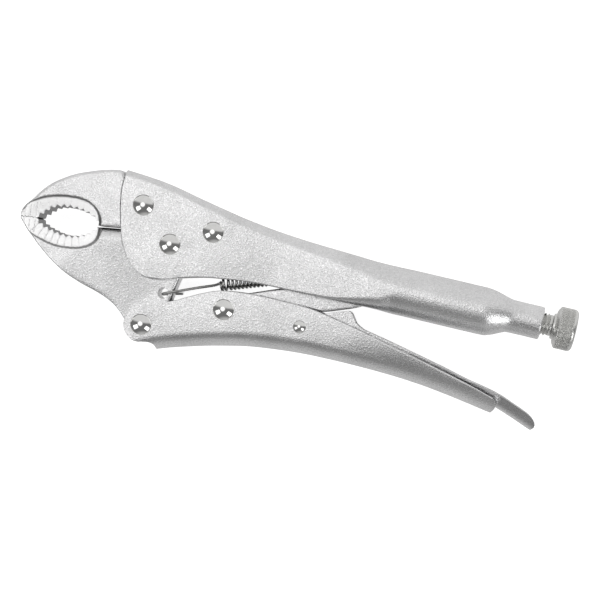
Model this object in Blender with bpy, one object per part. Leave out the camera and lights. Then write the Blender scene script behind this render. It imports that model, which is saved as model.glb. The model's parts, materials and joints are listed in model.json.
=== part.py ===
"""Locking pliers, 10-inch class, curved jaws: every piece as its own solid.

The tool lies on its side: Z is its thickness, X runs along the adjusting screw
from the jaws (-X) to the knurled knob (+X). Outlines are written in
millimetres from the jaw pivot, with z = 0 in the middle of the thickness.
"""
import math

import bmesh
import bpy
from mathutils import Vector

# ---- driving dimensions, millimetres ---------------------------------------
MM = 0.001                       # metres in one millimetre
MIDDLE = (55.9, -9.45)           # centre of the tool's outline, from the jaw pivot
GAP = 0.25                       # clearance between neighbouring pieces

FLANK = 7.7                      # half thickness over the handle flanks
WALL = 2.5                       # pressed sheet of both handles
TANG = 4.9                       # half thickness of the jaws between the cheeks
LINK_HALF = 3.3                  # half thickness of the toggle link
LINK_BOSS = 4.9                  # the same at its pivot boss
CHANNEL = FLANK - WALL - 0.2     # half width of a channel's open side
LEVER_HALF = 4.8                 # half width of the release lever
LEVER_WALL = 1.2

TUBE_RADIUS = 10.45              # rolled rear part of the upper handle
NECK_RADIUS = 7.2                # swaged neck that holds the adjusting screw
NECK_END = 165.6                 # where the neck ends along X
SCREW_Y = 3.45                   # height of the adjusting screw's axis
SCREW_RADIUS = 5.1
SCREW_BORE = 5.4
KNOB_RADIUS = 9.3
KNOB_FRONT = 170.2
KNOB_END = 180.4

JAW_PIVOT = (0.0, 0.0)
HANDLE_PIVOT = (-4.5, -37.2)
LINK_PIVOT = (29.7, -22.5)
LINK_END = (94.0, 3.45)          # where the link bears on the screw's tip
LEVER_PIVOT = (63.9, -22.1)
FIXED_JAW_RIVETS = ((-15.4, 14.1), (17.5, 9.4))
SPRING_HOLE = (1.5, -21.6)
SPRING_ANCHOR = (66.0, 2.4)
SPRING_HOLE_RADIUS = 2.35
LINK_TAIL = 4.6                  # radius of the link's rear end
LINK_NOSE = 6.6                  # radius of its front end
LINK_PLAY = 2.6                  # free play between the link's end and the screw
ANCHOR_TAB = 2.2                 # thickness and half width of the lug for the spring
COIL_RADIUS = 3.3                # outside of the spring's coil
WIRE_RADIUS = 0.6

RIVET_HEAD = 4.6                 # radius of the large domed heads
RIVET_SHANK = 3.1
RIVET_DOME = 1.75                # height of the dome
RIVET_EDGE = 0.25                # thickness of a head at its rim
SMALL_HEAD = 2.8
SMALL_SHANK = 1.7
SMALL_DOME = 1.1

TOOTH_PITCH = 2.75
TOOTH_DEPTH = 1.2
FINE_PITCH = 1.35
FINE_DEPTH = 0.45
RECESS_FLOOR = 5.2               # half thickness left under the ground bevels
NOSE = 5.9                       # half thickness at the tips of the jaws
SOLE = -TUBE_RADIUS              # the tube's side is what the tool lies on
MARGIN = 2.0                     # how far a cutting tool runs past the metal


# ---- outline helpers ----------------------------------------------------------
def smooth(points, steps=4):
    """A soft curve through the points (Catmull-Rom), ends included."""
    first, last = points[0], points[-1]
    padded = [first] + list(points) + [last]
    curve = []
    for i in range(1, len(padded) - 2):
        a, b, c, d = padded[i - 1:i + 3]
        for k in range(steps):
            t = k / steps
            curve.append(tuple(
                0.5 * (2 * b[j] + (c[j] - a[j]) * t
                       + (2 * a[j] - 5 * b[j] + 4 * c[j] - d[j]) * t ** 2
                       + (3 * b[j] - a[j] - 3 * c[j] + d[j]) * t ** 3)
                for j in (0, 1)))
    curve.append(tuple(last))
    return curve


def arc(centre, radius, start, end, steps=8):
    """Points along a circular arc; angles in degrees."""
    angles = [math.radians(start + (end - start) * k / steps) for k in range(steps + 1)]
    return [(centre[0] + radius * math.cos(a), centre[1] + radius * math.sin(a)) for a in angles]


def circle(centre, radius, steps=24):
    return arc(centre, radius, 0, 360, steps)[:-1]


def toothed(points, pitch, depth):
    """Cuts V-teeth into a curve; the gullets lie on its left-hand side."""
    curve = [Vector(p) for p in smooth(points, 12)]
    lengths = [0.0]
    for a, b in zip(curve, curve[1:]):
        lengths.append(lengths[-1] + (b - a).length)
    count = max(1, round(lengths[-1] / pitch))
    result = []
    for k in range(2 * count + 1):
        target = lengths[-1] * k / (2 * count)
        i = max(j for j in range(len(curve) - 1) if lengths[j] <= target + 1e-9)
        step = curve[i + 1] - curve[i]
        spot = curve[i] + step * ((target - lengths[i]) / step.length)
        normal = Vector((-step.y, step.x)).normalized()
        result.append(tuple(spot + normal * (depth if k % 2 else 0.0)))
    return result


def ease(table, x):
    """Row of values at x from a table of rows sorted by their first value.

    Monotone cubic between the rows, so that no column overshoots.
    """
    xs = [row[0] for row in table]
    x = min(max(x, xs[0]), xs[-1])
    i = min(max(j for j in range(len(xs)) if xs[j] <= x), len(xs) - 2)
    width = xs[i + 1] - xs[i]
    t = (x - xs[i]) / width
    values = []
    for column in range(1, len(table[0])):
        y = [row[column] for row in table]
        slopes = [(y[j + 1] - y[j]) / (xs[j + 1] - xs[j]) for j in range(len(xs) - 1)]

        def tangent(j):
            if j in (0, len(xs) - 1):
                return slopes[0] if j == 0 else slopes[-1]
            before, after = slopes[j - 1], slopes[j]
            if before * after <= 0:
                return 0.0
            return 2 * before * after / (before + after)

        m0, m1 = tangent(i) * width, tangent(i + 1) * width
        values.append((2 * t ** 3 - 3 * t ** 2 + 1) * y[i] + (t ** 3 - 2 * t ** 2 + t) * m0
                      + (3 * t ** 2 - 2 * t ** 3) * y[i + 1] + (t ** 3 - t ** 2) * m1)
    return values


# ---- mesh helpers -----------------------------------------------------------------
def to_world(point, z=0.0):
    """Metres in the object's frame, from millimetres at the jaw pivot."""
    return Vector((point[0] - MIDDLE[0], point[1] - MIDDLE[1], z - SOLE)) * MM


def finish(name, bm, origin, material, smooth_angle=None):
    """Turns a bmesh written in millimetres into an object with its origin on a pivot."""
    bmesh.ops.recalc_face_normals(bm, faces=bm.faces)
    place = to_world(origin)
    for vert in bm.verts:
        vert.co = to_world((vert.co.x, vert.co.y), vert.co.z) - place
    mesh = bpy.data.meshes.new(name)
    bm.to_mesh(mesh)
    bm.free()
    mesh.materials.append(material)
    if smooth_angle:
        mesh.shade_smooth()
        mesh.set_sharp_from_angle(angle=math.radians(smooth_angle))
    obj = bpy.data.objects.new(name, mesh)
    obj.location = place
    bpy.context.collection.objects.link(obj)
    return obj


def prism_mesh(bm, outline, low, high):
    """Adds a straight prism between two heights to the bmesh."""
    bottom = [bm.verts.new((x, y, low)) for x, y in outline]
    top = [bm.verts.new((x, y, high)) for x, y in outline]
    count = len(outline)
    for i in range(count):
        j = (i + 1) % count
        bm.faces.new((bottom[i], bottom[j], top[j], top[i]))
    bm.faces.new(bottom)
    bm.faces.new(list(reversed(top)))


def turned_mesh(bm, centre, profile, steps=24):
    """Adds a solid turned about Z; the profile is (radius, height) from pole to pole."""
    rings = []
    for radius, height in profile[1:-1]:
        rings.append([bm.verts.new((x, y, height)) for x, y in circle(centre, radius, steps)])
    for lower, upper in zip(rings, rings[1:]):
        for i in range(steps):
            j = (i + 1) % steps
            bm.faces.new((lower[i], lower[j], upper[j], upper[i]))
    for ring, (_, height) in ((rings[0], profile[0]), (rings[-1], profile[-1])):
        pole = bm.verts.new((centre[0], centre[1], height))
        for i in range(steps):
            bm.faces.new((ring[i], ring[(i + 1) % steps], pole))


def loft_mesh(bm, sections):
    """Joins closed loops of equal length into one capped solid."""
    loops = [[bm.verts.new(co) for co in section] for section in sections]
    count = len(loops[0])
    for near, far in zip(loops, loops[1:]):
        for i in range(count):
            j = (i + 1) % count
            bm.faces.new((near[i], near[j], far[j], far[i]))
    bm.faces.new(loops[0])
    bm.faces.new(list(reversed(loops[-1])))


def cut(target, outline, low, high, operation='DIFFERENCE'):
    """Applies a prism to the target with an exact Boolean."""
    bm = bmesh.new()
    prism_mesh(bm, outline, low, high)
    cut_with(target, bm, operation)


def cut_with(target, bm, operation='DIFFERENCE'):
    """Applies a tool written in millimetres to the target with an exact Boolean."""
    bmesh.ops.recalc_face_normals(bm, faces=bm.faces)
    for vert in bm.verts:
        vert.co = to_world((vert.co.x, vert.co.y), vert.co.z)
    mesh = bpy.data.meshes.new("cutter")
    bm.to_mesh(mesh)
    bm.free()
    tool = bpy.data.objects.new("cutter", mesh)
    bpy.context.collection.objects.link(tool)
    modifier = target.modifiers.new("cut", 'BOOLEAN')
    modifier.operation = operation
    modifier.solver = 'EXACT'
    modifier.object = tool
    bpy.context.view_layer.update()
    depsgraph = bpy.context.evaluated_depsgraph_get()
    result = bpy.data.meshes.new_from_object(target.evaluated_get(depsgraph))
    target.modifiers.clear()
    target.data = result
    bpy.data.objects.remove(tool)


def metal(name, colour, roughness):
    material = bpy.data.materials.new(name)
    material.use_nodes = True
    shader = material.node_tree.nodes["Principled BSDF"]
    shader.inputs["Base Color"].default_value = (*colour, 1.0)
    shader.inputs["Roughness"].default_value = roughness
    shader.inputs["Metallic"].default_value = 1.0
    return material


def slope(target, start, end, high, low, beyond=30.0):
    """Planes both flanks down from one half thickness at start to another at end."""
    run = Vector(end) - Vector(start)
    side = Vector((-run.y, run.x)).normalized() * 60.0
    level = run.normalized() * beyond
    below, above = reach(high)
    for sign, outside in ((1, above), (-1, below)):
        bm = bmesh.new()
        profile = [(Vector(start), sign * high), (Vector(end), sign * low),
                   (Vector(end) + level, sign * low), (Vector(end) + level, outside),
                   (Vector(start), outside)]
        loft_mesh(bm, [[(*(spot + side * k), z) for spot, z in profile] for k in (-1, 1)])
        cut_with(target, bm)


def reach(half):
    """Heights that run past a wall of this half thickness on both sides."""
    return -half - MARGIN, half + MARGIN


# ---- bent-sheet handles ---------------------------------------------------------------
def sheet_section(web, rim, half, lean, web_radius, rim_radius, slot, wall, corner=5):
    """Closed (y, z) loop of a bent sheet: a channel, or a tube with a seam.

    web is the closed side and rim the open one; half is the half width at the
    rim and lean how far the walls close in towards the web, in degrees. slot
    is half the opening's width. The loop runs round the outside and back
    along the inside.
    """
    side = 1.0 if web > rim else -1.0
    web, rim = web * side, rim * side
    tilt = math.radians(lean)

    def path(top, bottom, width, top_r, bottom_r):
        start = bottom + bottom_r
        middle = top - top_r
        flat = width - (middle + top_r * math.sin(tilt) - start) * math.tan(tilt) - top_r * math.cos(tilt)
        turns = [math.radians(90) * k / corner for k in range(corner + 1)]
        points = [(bottom, -slot)]
        points += [(start - bottom_r * math.cos(a), -width + bottom_r - bottom_r * math.sin(a))
                   for a in turns]
        turns = [tilt + (math.radians(90) - tilt) * k / corner for k in range(corner + 1)]
        points += [(middle + top_r * math.sin(a), -flat - top_r * math.cos(a)) for a in turns]
        return points + [(y, -z) for y, z in reversed(points)]

    outer = path(web, rim, half, web_radius, rim_radius)
    thick = wall / math.cos(tilt)
    inner = path(web - wall, rim + wall, half - thick - wall * math.tan(tilt), max(web_radius - wall, 0.4),
                 max(rim_radius - wall, 0.15))
    return [(y * side, z) for y, z in outer + inner[::-1]]


# x, top of the web, rim, half width, lean, web corner, rim corner, half slot, wall
UPPER_STATIONS = (
    (-30.0, 28.0, -18.0, FLANK, 0.0, 3.2, 0.5, CHANNEL, WALL),
    (-10.8, 26.4, -18.0, FLANK, 0.0, 3.3, 0.5, CHANNEL, WALL),
    (7.6, 22.8, -17.0, FLANK, 0.0, 3.6, 0.5, CHANNEL, WALL),
    (26.0, 19.2, -14.0, FLANK, 0.0, 4.2, 0.5, CHANNEL, WALL),
    (44.1, 16.5, -10.0, FLANK, 0.0, 5.0, 0.6, CHANNEL, WALL),
    (61.2, 15.0, -8.0, 8.1, 0.0, 5.8, 0.8, 5.2, WALL),
    (80.9, 13.9, -7.3, 9.2, 0.0, 7.4, 1.6, 5.8, WALL),
    (90.0, 13.4, -7.2, 9.9, 0.0, 9.0, 4.0, 5.4, WALL),
    (96.0, 13.2, -7.3, 10.2, 0.0, 9.8, 7.0, 2.6, WALL),
    (101.0, 13.3, -7.5, TUBE_RADIUS, 0.0, 10.3, 9.6, 0.6, WALL),
    (108.0, 13.4, -7.5, TUBE_RADIUS, 0.0, 10.4, 10.05, 0.35, WALL),
    (139.9, 13.3, -7.5, TUBE_RADIUS, 0.0, 10.35, 10.05, 0.35, WALL),
    (145.2, 12.4, -6.6, 9.7, 0.0, 9.4, 9.3, 0.35, WALL),
    (149.3, 11.3, -4.6, 8.1, 0.0, 7.9, 7.7, 0.35, 2.4),
    (152.6, 10.65, -3.75, NECK_RADIUS, 0.0, 7.15, 6.8, 0.35, NECK_RADIUS - SCREW_BORE),
    (NECK_END, 10.65, -3.75, NECK_RADIUS, 0.0, 7.15, 6.8, 0.35, NECK_RADIUS - SCREW_BORE),
)

# x, bottom of the web, rim, half width, lean, web corner, rim corner, half slot, wall
LOWER_STATIONS = (
    (-16.0, -56.0, -20.0, FLANK, 0.0, 6.6, 0.5, CHANNEL, WALL),
    (3.9, -46.5, -20.0, FLANK, 0.0, 6.8, 0.5, CHANNEL, WALL),
    (18.7, -41.8, -13.0, FLANK, 0.0, 7.0, 0.5, CHANNEL, WALL),
    (29.7, -38.9, -11.0, FLANK, 0.0, 7.1, 0.5, CHANNEL, WALL),
    (46.4, -35.5, -10.5, FLANK, 0.0, 7.1, 0.5, CHANNEL, WALL),
    (66.1, -33.6, -10.5, FLANK, 0.0, 7.0, 0.5, CHANNEL, WALL),
    (84.1, -33.2, -12.0, 9.3, 7.0, 7.4, 0.5, 6.1, WALL),
    (98.6, -33.4, -16.0, 10.5, 14.5, 7.9, 0.5, 6.9, WALL),
    (120.5, -34.7, -21.0, 11.4, 23.0, 8.8, 0.5, 7.6, WALL),
    (141.7, -37.7, -26.0, 11.6, 27.0, 9.4, 0.5, 7.6, 2.4),
    (156.0, -40.0, -30.0, 11.8, 30.0, 9.6, 0.5, 7.5, 2.3),
)


def stations(first, spans):
    """Loft stations: spans are (end, number of steps) pairs."""
    xs = [first]
    for end, steps in spans:
        start = xs[-1]
        xs += [start + (end - start) * (k + 1) / steps for k in range(steps)]
    return xs


def sheet_loft(table, xs):
    bm = bmesh.new()
    loft_mesh(bm, [[(x, y, z) for y, z in sheet_section(*ease(table, x))] for x in xs])
    return bm


def cheek_outline():
    """Side view of the upper handle: the front edge, the cheek and the open rim."""
    front = smooth([(-26.0, 25.0), (-26.4, 19.5), (-25.3, 12.0), (-23.6, 4.8), (-20.8, -3.7),
                    (-15.4, -12.0), (-9.0, -15.9), (-2.6, -16.2), (7.3, -13.5), (16.9, -11.0),
                    (33.7, -8.6), (52.5, -7.8), (73.6, -7.4), (88.0, -7.3)], 4)
    return ([(-26.0, 40.0)] + front + [(100.0, -9.0), (120.0, -14.0), (190.0, -14.0), (190.0, 40.0)])


def upper_handle(nickel):
    xs = stations(-30.0, ((61.2, 12), (87.0, 4), (101.0, 7), (108.0, 2), (139.9, 4), (152.6, 9),
                          (NECK_END, 2)))
    handle = finish("upper_handle", sheet_loft(UPPER_STATIONS, xs), JAW_PIVOT, nickel)
    cut(handle, cheek_outline(), *reach(TUBE_RADIUS), operation='INTERSECT')
    for spot in (JAW_PIVOT, *FIXED_JAW_RIVETS):
        cut(handle, circle(spot, RIVET_SHANK + GAP), *reach(FLANK))
    add_anchor_tab(handle)
    shade(handle, 35)
    return handle


def add_anchor_tab(handle):
    """The lug pressed down from the web, which the tension spring hooks into."""
    x, y = SPRING_ANCHOR
    low, high = y - COIL_RADIUS, y + 11.0
    cut(handle, [(x, low), (x + ANCHOR_TAB, low), (x + ANCHOR_TAB, high), (x, high)],
        -ANCHOR_TAB, ANCHOR_TAB, operation='UNION')


def shade(obj, angle):
    obj.data.shade_smooth()
    obj.data.set_sharp_from_angle(angle=math.radians(angle))


def lower_outline():
    """Side view of the lower handle, round its pivot ear and along the rim."""
    ear = arc(HANDLE_PIVOT, 7.9, 262, 118, 9)
    rim = smooth([(-2.3, -27.9), (6.3, -24.1), (18.5, -17.8), (25.0, -15.1), (31.4, -13.8),
                  (41.0, -13.0), (52.0, -12.8), (68.1, -13.4), (75.0, -14.5), (89.6, -17.4),
                  (118.1, -23.8), (139.7, -29.0), (151.0, -32.2)], 3)
    end = smooth([(153.4, -33.6), (154.3, -35.2), (154.2, -37.0), (153.2, -39.0)], 2)
    return ear + rim + end + [(152.0, -60.0), (4.2, -60.0), (3.6, -46.0), (0.2, -44.2), (-2.6, -44.6)]


def lower_handle(nickel):
    xs = stations(-16.0, ((3.9, 3), (66.1, 9), (156.0, 11)))
    handle = finish("lower_handle", sheet_loft(LOWER_STATIONS, xs), HANDLE_PIVOT, nickel)
    cut(handle, lower_outline(), *reach(TUBE_RADIUS), operation='INTERSECT')
    for spot, radius in ((HANDLE_PIVOT, RIVET_SHANK), (LINK_PIVOT, RIVET_SHANK),
                         (LEVER_PIVOT, SMALL_SHANK)):
        cut(handle, circle(spot, radius + GAP), *reach(FLANK))
    shade(handle, 35)
    return handle


# ---- jaws ---------------------------------------------------------------------------
JAW_TIP_UPPER = (-68.5, -2.6)
JAW_TIP_LOWER = (-68.1, -3.0)
OVAL_FRONT = (-60.2, -1.6)
OVAL_REAR = (-33.2, 0.75)
# outline of the ground bevels round the toothed opening, run out past the tips
BEVEL_OVAL = [(-66.5, 2.0), (-60.4, 7.6), (-53.9, 10.0), (-47.6, 10.9), (-41.2, 11.0),
              (-36.4, 9.4), (-33.0, 6.2), (-31.4, 1.0), (-31.6, -4.4), (-34.8, -9.0),
              (-40.1, -11.3), (-45.7, -12.2), (-52.8, -12.1), (-57.8, -10.9), (-63.0, -8.4),
              (-75.0, -3.0)]


def fixed_jaw_outline():
    back = smooth([(-68.5, -0.6), (-67.4, 2.2), (-64.6, 5.7), (-61.6, 10.3), (-57.9, 14.4),
                   (-52.8, 18.2), (-47.7, 21.1), (-42.3, 23.3), (-36.8, 25.2), (-32.5, 26.4),
                   (-29.3, 27.0), (-27.4, 26.6), (-26.6, 24.6)], 2)
    tang = [(-26.6, 24.0), (-12.0, 23.1), (2.0, 20.4), (18.0, 17.3), (24.5, 15.6), (25.5, 5.5),
            (20.0, 3.2)]
    round_pivot = arc(JAW_PIVOT, 9.6, 25, 152, 8)
    lip = [(-23.3, 2.2), (-31.7, 0.95)]
    teeth = toothed([OVAL_REAR, (-36.6, 3.9), (-42.3, 5.5), (-48.2, 5.6), (-53.2, 4.5),
                     (-55.8, 2.7), OVAL_FRONT], TOOTH_PITCH, -TOOTH_DEPTH)
    nose = toothed([(-61.0, -1.75), JAW_TIP_UPPER], FINE_PITCH, -FINE_DEPTH)
    return back + tang + round_pivot + lip + teeth + nose


def lower_jaw_outline():
    belly = smooth([(-68.0, -3.4), (-66.1, -5.8), (-64.2, -7.8), (-61.6, -10.0), (-57.2, -13.8),
                    (-50.0, -19.0), (-43.2, -22.8), (-35.5, -25.7), (-28.0, -27.8),
                    (-22.2, -29.9), (-17.5, -32.6), (-13.6, -36.2)], 2)
    foot = arc(HANDLE_PIVOT, 7.2, 185, 345, 9)
    rear = [(5.3, -24.4), (6.3, -18.0), (7.4, -12.5)]
    crown = arc(JAW_PIVOT, 8.4, -15, 158, 12)
    lip = [(-23.4, 0.9), (-31.4, -0.35)]
    teeth = toothed([(-33.7, -0.1), (-35.4, -1.5), (-38.8, -4.3), (-43.7, -6.1), (-49.0, -6.2),
                     (-54.0, -5.2), (-57.2, -4.2), (-60.0, -2.5)], TOOTH_PITCH, TOOTH_DEPTH)
    nose = toothed([(-61.2, -2.5), (-68.0, -3.35)], FINE_PITCH, FINE_DEPTH)
    return belly + foot + rear + crown + lip + teeth + nose


def jaw(name, outline, tang_cutter, holes, material):
    """A forged jaw: a thick head, a thinner tang and bevels round the teeth."""
    bm = bmesh.new()
    prism_mesh(bm, outline, -FLANK, FLANK)
    body = finish(name, bm, JAW_PIVOT, material)
    below, above = reach(FLANK)
    slope(body, (-44.0, 0.0), (-69.0, 0.0), FLANK, NOSE)
    for outline, half in ((tang_cutter, TANG), (BEVEL_OVAL, RECESS_FLOOR)):
        cut(body, outline, half, above)
        cut(body, outline, below, -half)
    for spot, radius in holes:
        cut(body, circle(spot, radius), *reach(FLANK))
    shade(body, 25)
    return body


def fixed_jaw(steel):
    seat = [(-26.1 - GAP, 40.0), (-26.1 - GAP, 24.6), (-26.65, 19.5), (-25.55, 12.0),
            (-23.85, 4.8), (-22.0, -4.0), (60.0, -4.0), (60.0, 40.0)]
    holes = [(spot, RIVET_SHANK + GAP) for spot in FIXED_JAW_RIVETS]
    return jaw("fixed_jaw", fixed_jaw_outline(), seat, holes, steel)


def lower_jaw(steel):
    step = smooth([(-24.4, 6.0), (-22.6, -1.5), (-19.6, -9.0), (-16.2, -13.5), (-9.2, -17.2),
                   (-2.6, -17.6), (8.0, -15.0)], 3)
    holes = ((JAW_PIVOT, RIVET_SHANK + GAP), (HANDLE_PIVOT, RIVET_SHANK + GAP),
             (SPRING_HOLE, SPRING_HOLE_RADIUS))
    body = jaw("lower_jaw", lower_jaw_outline(), step + [(40.0, -10.0), (40.0, 20.0)], holes, steel)
    slope(body, (-33.0, -12.0), (-9.0, -30.0), FLANK, TANG, 60.0)
    shade(body, 25)
    return body


# ---- link, lever, spring and screw ------------------------------------------------------
def toggle_link(steel):
    """The strut between the lower handle and the adjusting screw's tip."""
    span = Vector(LINK_END) - Vector(LINK_PIVOT)
    along = span.normalized()
    across = Vector((-along.y, along.x))
    length = span.length

    def spot(u, v):
        return tuple(Vector(LINK_PIVOT) + along * u + across * v)

    edge = [(6.0, -5.0), (34.0, -5.0), (42.0, -7.4), (50.0, -7.9), (60.0, -7.7), (66.0, -4.8)]
    tail = arc((length, 0.0), LINK_TAIL, -75, 90, 8)
    nose = arc((0.0, 0.0), LINK_NOSE, 65, 285, 10)
    outline = [spot(u, v) for u, v in smooth(edge, 3) + tail + [(60.0, 5.4), (8.0, 5.6)] + nose]
    bm = bmesh.new()
    prism_mesh(bm, outline, -LINK_HALF, LINK_HALF)
    link = finish("toggle_link", bm, LINK_PIVOT, steel)
    cut(link, circle(LINK_PIVOT, 6.0), -LINK_BOSS, LINK_BOSS, operation='UNION')
    cut(link, circle(LINK_PIVOT, RIVET_SHANK + GAP), *reach(LINK_BOSS))
    shade(link, 30)
    return link


# x, bottom of the floor, rim, half width, lean, floor corner, rim corner, half slot, wall
LEVER_STATIONS = (
    (57.5, -27.6, -8.0, LEVER_HALF, 0.0, 2.4, 0.3, 3.4, LEVER_WALL),
    (64.0, -28.6, -8.0, LEVER_HALF, 0.0, 2.4, 0.3, 3.4, LEVER_WALL),
    (80.0, -29.0, -9.0, LEVER_HALF, 0.0, 2.6, 0.3, 3.4, LEVER_WALL),
    (100.0, -29.4, -15.0, LEVER_HALF, 0.0, 3.0, 0.3, 3.4, LEVER_WALL),
    (120.5, -30.9, -21.0, 5.6, 8.0, 3.6, 0.3, 3.9, LEVER_WALL),
    (141.7, -34.0, -26.0, 6.2, 16.0, 4.2, 0.3, 4.3, LEVER_WALL),
    (150.0, -35.4, -28.0, 6.5, 20.0, 4.5, 0.3, 4.5, LEVER_WALL),
    (156.0, -37.2, -30.0, 6.5, 22.0, 4.6, 0.3, 4.5, LEVER_WALL),
    (174.0, -43.9, -36.0, 6.4, 22.0, 4.7, 0.3, 4.4, LEVER_WALL),
)


def lever_outline():
    ear = arc(LEVER_PIVOT, 6.2, 190, 90, 5)
    top = smooth([(70.0, -14.9), (72.6, -14.2), (82.4, -10.6), (84.2, -10.8), (85.6, -12.4),
                  (87.6, -14.8), (90.0, -16.6)], 2)
    strip = smooth([(103.8, -19.4), (126.8, -24.4), (139.3, -27.4), (153.6, -30.4),
                    (163.7, -34.0), (169.6, -36.6), (171.8, -38.4), (172.4, -40.6),
                    (170.6, -43.2)], 3)
    return ear + top + strip + [(169.0, -50.0), (60.0, -50.0), (57.7, -25.0)]


def release_lever(nickel):
    xs = stations(57.5, ((100.0, 6), (150.0, 6), (174.0, 5)))
    lever = finish("release_lever", sheet_loft(LEVER_STATIONS, xs), LEVER_PIVOT, nickel)
    cut(lever, lever_outline(), *reach(FLANK), operation='INTERSECT')
    cut(lever, circle(LEVER_PIVOT, SMALL_SHANK + GAP, 16), *reach(FLANK))
    shade(lever, 35)
    return lever


def tension_spring(steel):
    """Plain solid of the spring: the straight hook arm and the coil's outside."""
    start, anchor = Vector(SPRING_HOLE), Vector(SPRING_ANCHOR)
    span = anchor - start
    along = span.normalized()
    across = Vector((-along.y, along.x))
    profile = ((5.6, WIRE_RADIUS), (22.6, WIRE_RADIUS), (24.0, COIL_RADIUS), (57.0, COIL_RADIUS),
               (58.4, WIRE_RADIUS), (span.length - GAP, WIRE_RADIUS))
    bm = bmesh.new()
    sections = []
    for u, radius in profile:
        middle = start + along * u
        sections.append([
            (middle.x + across.x * radius * math.cos(a), middle.y + across.y * radius * math.cos(a),
             radius * math.sin(a)) for a in (math.radians(30 * k) for k in range(12))])
    loft_mesh(bm, sections)
    return finish("tension_spring", bm, SPRING_ANCHOR, steel, 40)


def along_screw(bm, profile, steps=32):
    """Solid turned about the adjusting screw's axis; the profile is (x, radius)."""
    sections = []
    for x, radius in profile:
        sections.append([(x, SCREW_Y + dy, dz) for dy, dz in circle((0.0, 0.0), radius, steps)])
    loft_mesh(bm, sections)


def adjusting_screw(steel):
    tip = LINK_END[0] + LINK_TAIL + LINK_PLAY
    chamfer = 1.6
    bm = bmesh.new()
    along_screw(bm, ((tip, SCREW_RADIUS - chamfer), (tip + chamfer, SCREW_RADIUS),
                     (KNOB_FRONT - GAP, SCREW_RADIUS)), 24)
    return finish("adjusting_screw", bm, (tip, SCREW_Y), steel, 40)


def screw_knob(nickel):
    chamfer = 1.1
    bm = bmesh.new()
    along_screw(bm, ((KNOB_FRONT, 6.4), (KNOB_FRONT + 0.5, 6.6), (KNOB_FRONT + 0.9, KNOB_RADIUS - 1.4),
                     (KNOB_FRONT + 2.0, KNOB_RADIUS), (KNOB_END - 2.2, KNOB_RADIUS),
                     (KNOB_END - chamfer, KNOB_RADIUS - 0.5), (KNOB_END - 0.3, KNOB_RADIUS - 1.6),
                     (KNOB_END, KNOB_RADIUS - 2.6)))
    return finish("screw_knob", bm, (KNOB_FRONT, SCREW_Y), nickel, 40)


def rivet(name, spot, head, shank, dome, material):
    """A rivet with the same low polished dome on both flanks."""
    under = FLANK + GAP
    rounded = [(head * math.cos(a), under + RIVET_EDGE + (dome - RIVET_EDGE) * math.sin(a))
               for a in (math.radians(18 * k) for k in range(5))]
    half = [(shank, under), (head - 0.1, under)] + rounded + [(0.0, under + dome)]
    profile = [(radius, -height) for radius, height in reversed(half)] + half
    bm = bmesh.new()
    turned_mesh(bm, spot, profile)
    return finish(name, bm, spot, material, 40)


def build():
    for obj in list(bpy.data.objects):
        bpy.data.objects.remove(obj)
    nickel = metal("satin_nickel", (0.72, 0.72, 0.71), 0.42)
    forged = metal("forged_nickel", (0.74, 0.74, 0.73), 0.45)
    chrome = metal("polished_rivet", (0.80, 0.80, 0.80), 0.08)
    steel = metal("spring_steel", (0.30, 0.30, 0.30), 0.35)
    bright = metal("bright_zinc", (0.70, 0.70, 0.68), 0.25)

    upper_handle(nickel)
    fixed_jaw(forged)
    lower_jaw(forged)
    lower_handle(nickel)
    toggle_link(forged)
    release_lever(nickel)
    tension_spring(steel)
    adjusting_screw(bright)
    screw_knob(bright)
    large = (RIVET_HEAD, RIVET_SHANK, RIVET_DOME, chrome)
    rivet("fixed_jaw_rivet_front", FIXED_JAW_RIVETS[0], *large)
    rivet("fixed_jaw_rivet_rear", FIXED_JAW_RIVETS[1], *large)
    rivet("jaw_pivot_rivet", JAW_PIVOT, *large)
    rivet("handle_pivot_rivet", HANDLE_PIVOT, *large)
    rivet("link_pivot_rivet", LINK_PIVOT, *large)
    rivet("lever_rivet", LEVER_PIVOT, SMALL_HEAD, SMALL_SHANK, SMALL_DOME, chrome)


build()
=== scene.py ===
"""Looks of the locking pliers: fine meshes, plated-metal materials, studio light and camera.

Shapes are written in millimetres from the jaw pivot, X along the adjusting screw
and z = 0 in the middle of the tool's thickness, then placed by the CAD's joints.
"""
import json
import math

import bmesh
import bpy
import numpy as np
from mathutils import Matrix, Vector, geometry


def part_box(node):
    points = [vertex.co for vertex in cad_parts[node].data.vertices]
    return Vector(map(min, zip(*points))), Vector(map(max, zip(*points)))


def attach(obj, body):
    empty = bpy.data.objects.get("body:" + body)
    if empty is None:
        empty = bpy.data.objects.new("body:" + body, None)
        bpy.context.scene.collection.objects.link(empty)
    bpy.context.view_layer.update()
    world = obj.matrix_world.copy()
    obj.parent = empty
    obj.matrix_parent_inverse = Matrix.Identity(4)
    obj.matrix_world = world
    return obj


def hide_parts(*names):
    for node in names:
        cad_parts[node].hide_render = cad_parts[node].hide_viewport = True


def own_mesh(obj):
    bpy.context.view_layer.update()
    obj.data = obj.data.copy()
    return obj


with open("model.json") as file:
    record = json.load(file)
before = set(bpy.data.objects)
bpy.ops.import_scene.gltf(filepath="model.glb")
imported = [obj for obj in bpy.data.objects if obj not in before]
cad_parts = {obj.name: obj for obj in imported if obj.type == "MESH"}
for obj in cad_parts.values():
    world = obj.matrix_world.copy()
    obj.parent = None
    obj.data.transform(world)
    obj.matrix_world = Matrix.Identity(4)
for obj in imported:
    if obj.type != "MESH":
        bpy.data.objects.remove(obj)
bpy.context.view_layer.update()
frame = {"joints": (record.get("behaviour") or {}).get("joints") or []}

MM = 0.001
joints = {joint["name"]: joint for joint in frame["joints"]}
PIVOT = Vector(joints["jaw_hinge"]["pos_m"])


def to_mm(point):
    """Millimetres from the jaw pivot, from metres in the frame."""
    return (Vector(point) - PIVOT) / MM


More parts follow.
